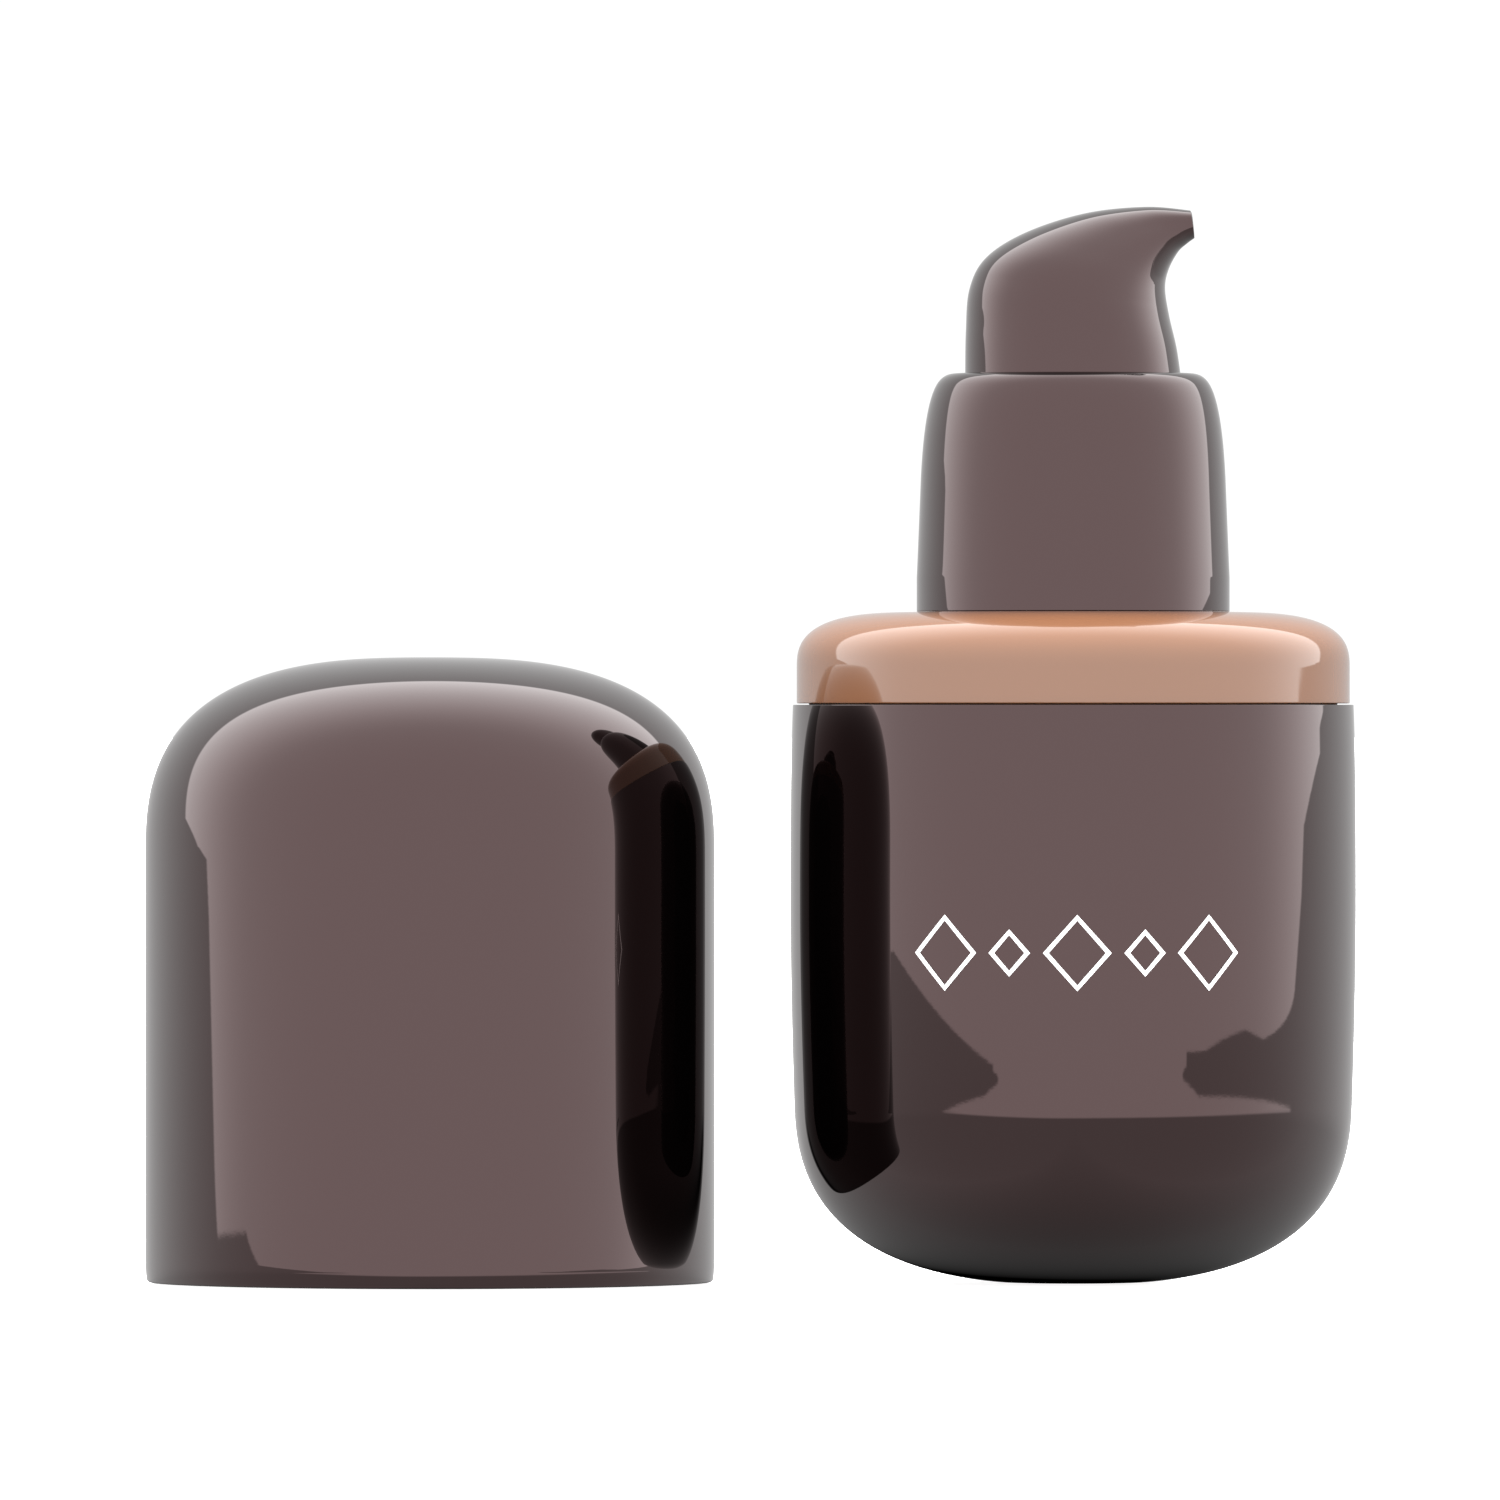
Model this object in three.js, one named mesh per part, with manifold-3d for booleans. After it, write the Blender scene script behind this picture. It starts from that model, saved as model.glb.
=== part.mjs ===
// A foundation bottle with a treatment pump, and its overcap standing beside it.
// Millimetres, +Z up. The origin is the centre of the bottle's flat base, on the bottle's axis;
// the nozzle points along +X and the overcap stands on the same surface at -X.
//
// How it is built: a glossy outer shell holds a thin inner bottle. A shoulder ring in the shade's
// colour snaps into the shell and hides the joint between the two. The pump hangs in the neck
// from its flange, held down by a screw closure that the collar sleeve covers.
import * as THREE from "three";
import { mergeVertices } from "three/addons/utils/BufferGeometryUtils.js";
import Module from "manifold-3d";

const wasm = await Module();
wasm.setup();

// ---------------------------------------------------------------- driving dimensions

const SHELL = { radius: 22.5, waist: 31, rimRadius: 22.3, rim: 45.9, wall: 1.2, floor: 2.6 };
const FOOT = { flat: 6, radius: 22.2, pole: -0.2, height: 15.5, power: 2.6 }; // the round bottom
const WALL_FOOT = { radius: 22.18, z: 13.8, lean: 23.2 }; // where the bowl runs into the wall
const SNAP = { depth: 0.3, bottom: 41.3, top: 42.9, slope: 0.6, play: 0.05 };
const SHOULDER = { radius: 22, wall: 1.3, top: 53.3, side: 48.8, holeRadius: 10.3, power: 2.8 };
const SKIRT = { bottom: 40.6, wall: 1.25, inside: 46.2 }; // the part of the ring inside the shell
const INNER = { radius: 19.2, wall: 1.6, bowl: 11.5, power: 2.5, floorRadius: 6.5, shoulder: 51.4 };
const CAVITY = { radius: 21, height: 12.1, power: 2.5, pole: 1.9, floorRadius: 9 }; // in the shell
const NECK = { radius: 9.1, bore: 7.4, top: 63.4 };
const THREAD = { pitch: 3.175, crest: 9.9, capCrest: 9.45, capRoot: 10.3, turns: 1.25, start: 57.6 };
const RIDGE = { baseHalf: 0.75, crestHalf: 0.4, fadeSteps: 3, root: 0.3 };
const COLLAR = { baseRadius: 12.45, base: 53.36, top: 72.25, wall: 0.85, holeRadius: 8.9, lip: 1 };
const CLOSURE = { bottom: 54, seat: 65.2, top: 66.4, ribRadius: 11.25, rootRadius: 11, ribs: 24, hole: 6.9 };
const PUMP = { boreRadius: 4.2, barrelRadius: 5.4, flange: 64.2, flangeRadius: 9.2, bottom: 34 };
const VALVE = { chamber: 2.55, port: 1, step: 44.6, seat: 39.9, ballRadius: 1.5, play: 0.08 };
const VENT = { radius: 0.5, reach: 8, z: 57.2 };
const CAGE = { hole: 0.9, plugRadius: 2.35, bottom: 43.7, slot: 0.7, slotTop: 0.6 };
const CHAPLET = { bottom: 58.8, flangeRadius: 6.5, flange: 1, hubRadius: 4.3, hubTop: 67.6 };
const STEM = { radius: 2.6, bore: 1.3, bottom: 54.6, top: 78.2, stopRadius: 3.3, stop: 57.8 };
const PISTON = { bottom: 54.2, top: 57, lip: 0.4, waistRadius: 3.6, slope: 0.4 };
const ROD = { radius: 1.7, bottom: 50, flangeRadius: 3.3, flangeTop: 54.1, top: 60, flute: 0.6 };
const TUBE = { radius: 1.85, bore: 1.2, bottom: 6.2, top: 39, slant: Math.PI / 5 };
const SPRING = { radius: 2.9, wire: 0.25, bottom: 45.35, top: 53.05, turns: 6 };
const HEAD = { bottom: 71.4, socket: 2.7, bossRadius: 3.5, bossBottom: 72.6, roof: 78 };
const OUTLET = { radius: 0.7, length: 14, tilt: 60, x: -0.6, z: 78.27 }; // tilt in degrees from Z
const CAP = { radius: 22.65, lipRadius: 22.6, height: 49.7, wall: 1.35, lipBore: 22.15, lipDepth: 7.9 };
const CROWN = { height: 16, power: 2.75 }; // the cap's round top
const LINER = { bore: 12.65, wall: 1, bottom: 8.2, top: 44, bead: 0.13, beadTop: 11 };
const WEB = { ribs: 6, width: 1, top: 42, play: 0.15 }; // the ribs between the liner and the shell
const CAP_PLACE = { x: -51.15, y: 0 }; // the standing cap's axis
const PLAY = 0.1; // between pieces that are pushed together

const FACETS = 32; // round the wide pieces
const SMALL_FACETS = 24; // round the pump's pieces
const TINY_FACETS = 16; // round the dip tube, the ball cage and the piston rod
const CURVE_STEPS = 3; // along each short curve of an outline

// ---------------------------------------------------------------- materials

const plastic = (color, roughness) => new THREE.MeshStandardMaterial({ color, roughness, metalness: 0 });
const brownGloss = plastic(0x4a3838, 0.06);
const shadeGloss = plastic(0xcb9a80, 0.08);
const naturalPlastic = plastic(0xe8e4da, 0.45);
const sealWhite = plastic(0xf2f0ea, 0.6);
const tubeClear = plastic(0xdfe3e2, 0.3);
const glassBall = plastic(0xcfd8d8, 0.05);
const springSteel = new THREE.MeshStandardMaterial({ color: 0xb9bcc0, roughness: 0.25, metalness: 1 });

// ---------------------------------------------------------------- shape helpers

// Points (radius, height) of a quarter superellipse from its pole on the axis to its equator,
// leaving out those nearer the axis than fromRadius. side is 1 for a bowl and -1 for a crown.
// centre moves the curve outwards, so that it starts there and not on the axis.
function dome({ radius, height, power, pole, side = 1, fromRadius = 0, steps = 8, centre = 0 }) {
  const points = [];
  for (let i = 0; i <= steps; i++) {
    const angle = (Math.PI / 2) * (i / steps);
    const r = centre + radius * Math.sin(angle) ** (2 / power);
    const z = pole + side * height * (1 - Math.cos(angle) ** (2 / power));
    if (r >= fromRadius) points.push(new THREE.Vector2(r, z));
  }
  return points;
}

// Plain corners as (radius, height) pairs.
const corners = (...pairs) => pairs.map(([r, z]) => new THREE.Vector2(r, z));

// A curve from one corner to the next, bending towards a control corner.
function bend(from, control, to, steps = CURVE_STEPS) {
  const [a, b, c] = corners(from, control, to);
  return new THREE.QuadraticBezierCurve(a, b, c).getPoints(steps);
}

// A body of revolution about Z. An outline that touches the axis ends on it, and any other closes.
function turned(outline, facets) {
  const points = outline.filter((p, i) => i === 0 || p.distanceTo(outline[i - 1]) > 1e-6);
  if (points[0].x > 0 || points.at(-1).x > 0) points.push(points[0].clone());
  if (THREE.ShapeUtils.area(points) < 0) points.reverse();
  return new THREE.LatheGeometry(points, facets).rotateX(Math.PI / 2);
}

// A closed skin over a row of rings that all have the same number of points, with flat ends.
function loft(rings) {
  const count = rings[0].length;
  const position = rings.flat().flatMap((p) => p.toArray());
  const index = [];
  for (let row = 0; row < rings.length - 1; row++) {
    for (let k = 0; k < count; k++) {
      const a = row * count + k;
      const b = row * count + ((k + 1) % count);
      index.push(a, b, b + count, a, b + count, a + count);
    }
  }
  [0, rings.length - 1].forEach((row, end) => {
    const middle = new THREE.Vector3();
    rings[row].forEach((p) => middle.add(p));
    position.push(...middle.divideScalar(count).toArray());
    const hub = position.length / 3 - 1;
    for (let k = 0; k < count; k++) {
      const a = row * count + k;
      const b = row * count + ((k + 1) % count);
      index.push(...(end ? [a, b, hub] : [b, a, hub]));
    }
  });
  const geometry = new THREE.BufferGeometry();
  geometry.setAttribute("position", new THREE.Float32BufferAttribute(position, 3));
  return geometry.setIndex(index);
}

// A three.js geometry as a solid for cutting and joining, and back again.
function solid(geometry) {
  const bare = geometry.clone();
  bare.deleteAttribute("normal");
  bare.deleteAttribute("uv");
  const merged = mergeVertices(bare, 1e-4);
  const vertProperties = new Float32Array(merged.attributes.position.array);
  const triVerts = new Uint32Array(merged.index.array);
  return new wasm.Manifold(new wasm.Mesh({ numProp: 3, vertProperties, triVerts }));
}

function geometryOf(body) {
  const { vertProperties, triVerts } = body.getMesh();
  const geometry = new THREE.BufferGeometry();
  geometry.setAttribute("position", new THREE.BufferAttribute(vertProperties, 3));
  return geometry.setIndex(new THREE.BufferAttribute(triVerts, 1));
}

// The point at a radius and an angle about Z.
function around(radius, angle, z) {
  return new THREE.Vector3(radius * Math.cos(angle), radius * Math.sin(angle), z);
}

// A plain cylinder about Z between two heights.
function rod(radius, bottom, top, facets) {
  const cylinder = new THREE.CylinderGeometry(radius, radius, top - bottom, facets);
  return solid(cylinder.rotateX(Math.PI / 2).translate(0, 0, (bottom + top) / 2));
}

// A block from r = from to r = to along the direction at an angle about Z.
function spoke(angle, from, to, width, bottom, top) {
  const block = new THREE.BoxGeometry(to - from, width, top - bottom);
  return solid(block.translate((from + to) / 2, 0, (bottom + top) / 2).rotateZ(angle));
}

// A right-hand screw thread's ridge. Its crest fades into the wall over the first and last steps.
function ridge(root, crest, start, turns, facets) {
  const { baseHalf, crestHalf, fadeSteps } = RIDGE;
  const steps = Math.round(turns * facets);
  const rings = [];
  for (let i = 0; i <= steps; i++) {
    const angle = (2 * Math.PI * i) / facets;
    const z = start + (THREAD.pitch * i) / facets;
    const fade = Math.min(1, (i + 1) / fadeSteps, (steps - i + 1) / fadeSteps);
    const tip = THREE.MathUtils.lerp(root, crest, fade);
    const section = [[root, -baseHalf], [tip, -crestHalf], [tip, crestHalf], [root, baseHalf]];
    if (crest > root) section.reverse();
    rings.push(section.map(([r, dz]) => around(r, angle, z + dz)));
  }
  return solid(loft(rings));
}

// ---------------------------------------------------------------- the bottle

// The shell's wall swells to its waist and draws in again towards the rim.
function outerShell() {
  const { radius, waist, rimRadius, rim, wall, floor } = SHELL;
  const { flat, ...bowl } = FOOT;
  const inside = rimRadius - wall;
  const lowest = dome({ ...bowl, fromRadius: flat + 1 }).filter((p) => p.y < WALL_FOOT.z - 1);
  const outside = [
    ...corners([0, 0], [flat, 0]),
    ...lowest,
    ...bend([WALL_FOOT.radius, WALL_FOOT.z], [radius, WALL_FOOT.lean], [radius, waist]),
    ...bend([radius, waist], [radius, SNAP.bottom], [rimRadius, rim]),
  ];
  const groove = corners(
    [inside, rim], [inside, SNAP.top], [inside + SNAP.depth, SNAP.top - SNAP.slope],
    [inside + SNAP.depth, SNAP.bottom + SNAP.slope], [inside, SNAP.bottom],
  );
  const { floorRadius, ...cavity } = CAVITY;
  const bowlInside = dome({ ...cavity, fromRadius: floorRadius + 0.5, steps: 6 }).reverse();
  const ground = corners([floorRadius, floor], [0, floor]);
  return turned([...outside, ...groove, ...bowlInside, ...ground], FACETS);
}

function innerBottle() {
  const { radius, wall, bowl, power, floorRadius, shoulder } = INNER;
  const { floor } = SHELL;
  const outside = [
    ...corners([0, floor], [floorRadius, floor]),
    ...dome({ radius, height: bowl, power, pole: floor - PLAY, fromRadius: 8, steps: 6 }),
    ...bend([radius, 46.2], [radius, 50.6], [14.5, shoulder]),
    ...corners([NECK.radius, shoulder], [NECK.radius, NECK.top]),
  ];
  const room = { radius: radius - wall, height: bowl - 0.9, power, pole: floor + 2, steps: 6 };
  const inside = [
    ...corners([NECK.bore, NECK.top], [NECK.bore, 50]),
    ...bend([13.5, 49.6], [radius - wall, 49.2], [radius - wall, 45.5]),
    ...dome(room).reverse(),
  ];
  const body = solid(turned([...outside, ...inside], FACETS));
  const thread = ridge(NECK.radius - RIDGE.root, THREAD.crest, THREAD.start, THREAD.turns, FACETS);
  return geometryOf(body.add(thread));
}

// The ring's skirt snaps into the shell, and its arch covers the inner bottle's shoulder.
function shoulderRing() {
  const { radius, wall, top, side, holeRadius, power } = SHOULDER;
  const skirt = SHELL.rimRadius - SHELL.wall - PLAY;
  const skirtInside = skirt - SKIRT.wall;
  const bead = skirt + SNAP.depth - SNAP.play;
  const ledge = SHELL.rim + PLAY;
  const step = 12.2; // the recess under the collar sleeve
  const stepTop = INNER.shoulder + 0.15;
  const arch = { centre: COLLAR.baseRadius, power, side: -1, steps: 6 };
  const span = radius - COLLAR.baseRadius;
  return turned([
    ...corners([skirt, SKIRT.bottom], [skirt, SNAP.bottom + 0.2]),
    ...corners([bead, SNAP.bottom + SNAP.slope + SNAP.play], [bead, SNAP.top - SNAP.slope - SNAP.play]),
    ...corners([skirt, SNAP.top - 0.2], [skirt, ledge], [radius, ledge]),
    ...dome({ ...arch, radius: span, height: top - side, pole: top }).reverse(),
    ...corners([holeRadius, top], [holeRadius, stepTop], [step, stepTop], [step, top - wall]),
    ...dome({ ...arch, radius: span - wall, height: 4, pole: top - wall }),
    ...corners([skirtInside, SKIRT.inside], [skirtInside, SKIRT.bottom]),
  ], FACETS);
}

// ---------------------------------------------------------------- the pump's fixed pieces

function neckGasket() {
  const outside = NECK.radius + 2 * PLAY;
  const inside = PUMP.barrelRadius + 2 * PLAY;
  const outline = corners(
    [inside, NECK.top], [outside, NECK.top], [outside, PUMP.flange], [inside, PUMP.flange],
  );
  return turned(outline, SMALL_FACETS);
}

// The cylinder, the ball's chamber under it, the inlet that grips the dip tube, and a vent hole.
function pumpHousing() {
  const { boreRadius, barrelRadius, flange, flangeRadius, bottom } = PUMP;
  const { chamber, port, step, seat } = VALVE;
  const socket = TUBE.radius + PLAY;
  const socketTop = TUBE.top + 2 * PLAY;
  const outline = corners(
    [2.9, bottom], [2.9, 38.5], [3.5, 39.5], [3.5, 41.5], [barrelRadius, 43.4], [barrelRadius, flange],
    [flangeRadius, flange], [flangeRadius, CLOSURE.seat], [boreRadius, CLOSURE.seat],
    [boreRadius, step], [chamber, step], [chamber, seat + chamber - port], [port, seat],
    [port, socketTop], [socket, socketTop], [socket, bottom],
  );
  const ventHole = rod(VENT.radius, 0, VENT.reach, 8).rotate([0, 90, 0]).translate([0, 0, VENT.z]);
  return geometryOf(solid(turned(outline, SMALL_FACETS)).subtract(ventHole));
}

// A plain tube whose lower end is cut on a slant, so that it can't seal itself against the floor.
function dipTube() {
  const { radius, bore, bottom, top, slant } = TUBE;
  const tube = rod(radius, bottom, top, TINY_FACETS).subtract(rod(bore, bottom - 1, top + 1, TINY_FACETS));
  const block = new THREE.BoxGeometry(12, 12, 6).translate(0, 0, -3).rotateY(slant);
  return geometryOf(tube.subtract(solid(block.translate(0, 0, bottom + radius * Math.tan(slant)))));
}

// A plug that keeps the ball in its chamber and carries the spring. Four slots let the liquid past.
function ballCage() {
  const { hole, plugRadius, bottom, slot, slotTop } = CAGE;
  const rim = PUMP.boreRadius - 2 * PLAY;
  const top = SPRING.bottom - PLAY / 2;
  const outline = corners(
    [hole, bottom], [plugRadius, bottom], [plugRadius, VALVE.step],
    [rim, VALVE.step], [rim, top], [hole, top],
  );
  let cage = solid(turned(outline, TINY_FACETS));
  for (let i = 0; i < 4; i++) {
    cage = cage.subtract(spoke((Math.PI / 2) * i, 0.5, 3, slot, bottom - 1, bottom + slotTop));
  }
  return geometryOf(cage);
}

function chaplet() {
  const { bottom, flangeRadius, flange, hubRadius, hubTop } = CHAPLET;
  const { seat } = CLOSURE;
  const bore = STEM.radius + 2 * PLAY;
  const plug = PUMP.boreRadius - PLAY;
  return turned(corners(
    [bore, bottom], [plug, bottom], [plug, seat], [flangeRadius, seat], [flangeRadius, seat + flange],
    [hubRadius, seat + flange], [hubRadius - 0.2, hubTop], [bore, hubTop],
  ), SMALL_FACETS);
}

// ---------------------------------------------------------------- the pump's moving pieces

function ballValve() {
  return new THREE.SphereGeometry(VALVE.ballRadius, 14, 10).rotateX(Math.PI / 2);
}

// The coil rests on the ball cage and lifts the piston rod. Its first and last half turns lie flat.
function returnSpring() {
  const STEPS_PER_TURN = 12;
  const SIDES = 6;
  const { radius, wire, bottom, top, turns } = SPRING;
  const steps = turns * STEPS_PER_TURN;
  const rings = [];
  for (let i = 0; i <= steps; i++) {
    const turn = i / STEPS_PER_TURN;
    const rise = THREE.MathUtils.clamp((turn - 0.5) / (turns - 1), 0, 1);
    const z = THREE.MathUtils.lerp(bottom + wire, top - wire, rise);
    const ring = [];
    for (let k = 0; k < SIDES; k++) {
      const angle = (-2 * Math.PI * k) / SIDES;
      ring.push(around(radius + wire * Math.cos(angle), 2 * Math.PI * turn, z + wire * Math.sin(angle)));
    }
    rings.push(ring);
  }
  return loft(rings);
}

// A sleeve on the stem with a sealing lip at each end.
function piston() {
  const { bottom, top, lip, waistRadius, slope } = PISTON;
  const bore = STEM.radius + 0.15;
  const seal = PUMP.boreRadius - PLAY;
  return turned(corners(
    [bore, bottom], [seal, bottom], [seal, bottom + lip], [waistRadius, bottom + lip + slope],
    [waistRadius, top - lip - slope], [seal, top - lip], [seal, top], [bore, top],
  ), SMALL_FACETS);
}

// The rod carries the piston on its flange, guides the spring below, and plugs into the stem.
function pistonRod() {
  const { radius, bottom, flangeRadius, flangeTop, top, flute } = ROD;
  const pin = STEM.bore - PLAY;
  const nose = 0.4;
  const shoulder = SPRING.top + PLAY / 2;
  const body = solid(turned(corners(
    [0, bottom], [radius - 0.3, bottom], [radius, bottom + nose], [radius, shoulder],
    [flangeRadius, shoulder], [flangeRadius, flangeTop], [pin, flangeTop], [pin, top - 0.6],
    [pin - nose, top], [0, top],
  ), TINY_FACETS));
  const flutes = [0, 1, 2].map((i) => spoke((2 * Math.PI * i) / 3, 0.55, 1.8, flute, flangeTop, top + 1));
  return geometryOf(flutes.reduce((rest, cut) => rest.subtract(cut), body));
}

function stem() {
  const { radius, bore, bottom, top, stopRadius, stop } = STEM;
  const stopTop = stop + 0.8;
  const chamfer = 0.3;
  return turned(corners(
    [bore, bottom], [radius, bottom], [radius, stop], [stopRadius, stop], [stopRadius, stopTop],
    [radius, stopTop], [radius, top - chamfer], [radius - chamfer, top], [bore, top],
  ), SMALL_FACETS);
}

// The press-down head. Its skin is a loft from a round skirt to a flat nozzle tip: each section
// stands between a point of the back-and-top line and a point of the throat line.
function actuatorSkin() {
  const SECTIONS = 16;
  const SIDES = 28;
  const back = [
    [-8.6, 71.4], [-8.55, 75.5], [-8.25, 79], [-6.9, 81.5], [-3.7, 83.5], [1, 85], [5.8, 85.5], [9.4, 85.2],
  ];
  const throat = [
    [8.65, 71.4], [8.25, 74.2], [7.65, 76.8], [7.32, 79], [7.6, 80.5], [8.35, 81.9], [9.1, 82.6], [9.65, 83],
  ];
  const halfWidths = [8.5, 8.45, 8.2, 7.35, 5.95, 4.2, 2.8, 1.9].map((half, i) => [i, half]);
  const lines = [back, throat, halfWidths];
  const [top, under, width] = lines.map((pairs) => new THREE.SplineCurve(corners(...pairs)));
  const rings = [];
  for (let i = 0; i <= SECTIONS; i++) {
    const t = i / SECTIONS;
    const [a, b] = [top.getPoint(t), under.getPoint(t)];
    const middle = a.clone().add(b).multiplyScalar(0.5);
    const reach = b.clone().sub(a).multiplyScalar(0.5);
    const power = 2 / (2 + 0.9 * Math.max(t - 1 / 3, 0)); // round at the skirt, squarer at the tip
    const ring = [];
    for (let k = 0; k < SIDES; k++) {
      const [c, s] = [Math.cos((2 * Math.PI * k) / SIDES), Math.sin((2 * Math.PI * k) / SIDES)];
      const along = Math.sign(c) * Math.abs(c) ** power;
      const across = Math.sign(s) * Math.abs(s) ** power * width.getPoint(t).y;
      ring.push(new THREE.Vector3(middle.x + reach.x * along, across, middle.y + reach.y * along));
    }
    rings.push(ring);
  }
  return solid(loft(rings));
}

// The head is hollow under the skirt. A boss in the middle grips the stem and feeds the nozzle.
function actuator() {
  const { bottom, socket, bossRadius, bossBottom, roof } = HEAD;
  const hollow = [
    ...corners([0, bottom - 1], [7.3, bottom - 1], [7.1, 75]),
    ...bend([7, 75.2], [6.4, roof], [3.4, roof]),
    ...corners([0, roof]),
  ];
  const boss = rod(bossRadius, bossBottom, roof + 1, SMALL_FACETS);
  const cavity = solid(turned(hollow, SMALL_FACETS)).subtract(boss);
  const stemSocket = rod(socket, bottom - 1, STEM.top + 2 * PLAY, SMALL_FACETS);
  const outlet = rod(OUTLET.radius, 0, OUTLET.length, 12)
    .rotate([0, OUTLET.tilt, 0])
    .translate([OUTLET.x, 0, OUTLET.z]);
  return geometryOf(actuatorSkin().subtract(cavity).subtract(stemSocket).subtract(outlet));
}

// ---------------------------------------------------------------- the screw closure

function screwClosure() {
  const { bottom, seat, top, ribRadius, rootRadius, ribs, hole } = CLOSURE;
  const outline = new THREE.Shape();
  const step = (2 * Math.PI) / ribs;
  const rib = [[-0.3, rootRadius], [-0.15, ribRadius], [0.15, ribRadius], [0.3, rootRadius]];
  for (let i = 0; i < ribs; i++) {
    rib.forEach(([share, r], k) => {
      const { x, y } = around(r, (i + share) * step, 0);
      if (i + k === 0) outline.moveTo(x, y);
      else outline.lineTo(x, y);
    });
  }
  const blank = new THREE.ExtrudeGeometry(outline, { depth: top - bottom, bevelEnabled: false });
  const bore = rod(THREAD.capRoot, bottom - 1, seat, FACETS);
  const stemHole = rod(hole, bottom, top + 1, FACETS);
  const { capRoot, capCrest, start, turns } = THREAD;
  const thread = ridge(capRoot + RIDGE.root, capCrest, start - 1.1, turns - 0.15, FACETS);
  return geometryOf(solid(blank.translate(0, 0, bottom)).subtract(bore).subtract(stemHole).add(thread));
}

function collarSleeve() {
  const { baseRadius, base, top, wall, holeRadius, lip } = COLLAR;
  const chamfer = 0.15;
  return turned([
    ...corners([baseRadius - wall, base], [baseRadius - chamfer, base], [baseRadius, base + chamfer]),
    ...bend([baseRadius, 56], [12.4, 57], [12.12, 64], 2),
    ...bend([12.12, 64], [11.85, 69.6], [10.9, 71.3], 5),
    ...bend([10.9, 71.3], [10.4, 72.2], [9.5, top]),
    ...corners([holeRadius + chamfer, top], [holeRadius, top - chamfer], [holeRadius, top - lip]),
    ...bend([10, top - lip], [11, 69], [11.42, 66.5]),
  ], FACETS);
}

// ---------------------------------------------------------------- the overcap

// The cap's inner surface, as an outline from the axis down to where the liner's flange sits.
function capInside(gap) {
  const radius = CAP.radius - CAP.wall - gap;
  const pole = CAP.height - CAP.wall - gap;
  const crown = { radius, height: CROWN.height - 1, power: CROWN.power, pole };
  return [...dome({ ...crown, side: -1 }), ...corners([radius, CAP.lipDepth + 2 * PLAY])];
}

function capShell() {
  const { radius, lipRadius, lipBore, lipDepth, height } = CAP;
  const side = corners([lipRadius - 0.2, 0], [lipRadius, 0.3], [radius, 8]);
  const crown = dome({ ...CROWN, radius, pole: height, side: -1 }).reverse();
  const rebate = corners([lipBore, lipDepth], [lipBore, 0]); // a thin lip goes round the shoulder ring
  return turned([...side, ...crown, ...capInside(0), ...rebate], FACETS);
}

// A tall cup that slides over the collar sleeve, with a bead at its mouth to grip it.
function capLiner() {
  const { bore, wall, bottom, top, bead, beadTop } = LINER;
  const flange = CAP.radius - CAP.wall - PLAY;
  const grip = bore - bead;
  const hat = solid(turned(corners(
    [0, top - wall], [bore, top - wall], [bore, beadTop], [grip, beadTop - 0.8], [grip, beadTop - 1.2],
    [bore, beadTop - 2], [bore, bottom], [flange, bottom], [flange, bottom + wall],
    [bore + wall, bottom + wall], [bore + wall, top], [0, top],
  ), FACETS));
  const lowest = corners([0, CAP.lipDepth + 2 * PLAY]);
  const room = solid(turned([...capInside(WEB.play), ...lowest], FACETS));
  let liner = hat;
  for (let i = 0; i < WEB.ribs; i++) {
    const angle = (2 * Math.PI * i) / WEB.ribs;
    const rib = spoke(angle, bore + wall / 2, flange, WEB.width, bottom + wall / 2, WEB.top);
    liner = liner.add(rib.intersect(room));
  }
  return geometryOf(liner);
}

// ---------------------------------------------------------------- assembly

function piece(name, geometry, material) {
  const mesh = new THREE.Mesh(geometry, material);
  mesh.name = name;
  return mesh;
}

function group(...members) {
  return new THREE.Group().add(...members);
}

const bottle = group(
  piece("outer_shell", outerShell(), brownGloss),
  piece("inner_bottle", innerBottle(), naturalPlastic),
  piece("shoulder_ring", shoulderRing(), shadeGloss),
);

const ball = piece("ball_valve", ballValve(), glassBall);
// the ball rests on the seat's 45 degree cone
ball.position.z = VALVE.seat - VALVE.port + VALVE.ballRadius * Math.SQRT2 + VALVE.play;

const pump = group(
  piece("neck_gasket", neckGasket(), sealWhite),
  piece("pump_housing", pumpHousing(), naturalPlastic),
  piece("dip_tube", dipTube(), tubeClear),
  piece("ball_cage", ballCage(), naturalPlastic),
  piece("chaplet", chaplet(), naturalPlastic),
  piece("return_spring", returnSpring(), springSteel),
  ball,
  piece("piston", piston(), sealWhite),
  piece("piston_rod", pistonRod(), naturalPlastic),
  piece("stem", stem(), naturalPlastic),
  piece("actuator", actuator(), brownGloss),
);

const closure = group(
  piece("screw_closure", screwClosure(), naturalPlastic),
  piece("collar_sleeve", collarSleeve(), brownGloss),
);

const cap = group(
  piece("cap_shell", capShell(), brownGloss),
  piece("cap_liner", capLiner(), naturalPlastic),
);
cap.position.set(CAP_PLACE.x, CAP_PLACE.y, 0);

export default group(bottle, pump, closure, cap);
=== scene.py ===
"""Foundation bottle and its standing overcap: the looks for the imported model.

Everything is in metres in the CAD frame: the bottle stands on the origin, +Z is up, and the nozzle
points along +X. The outlines below are in millimetres and are scaled as the meshes are made.
"""
import math

import bmesh
import bpy
from mathutils import Matrix, Vector


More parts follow.
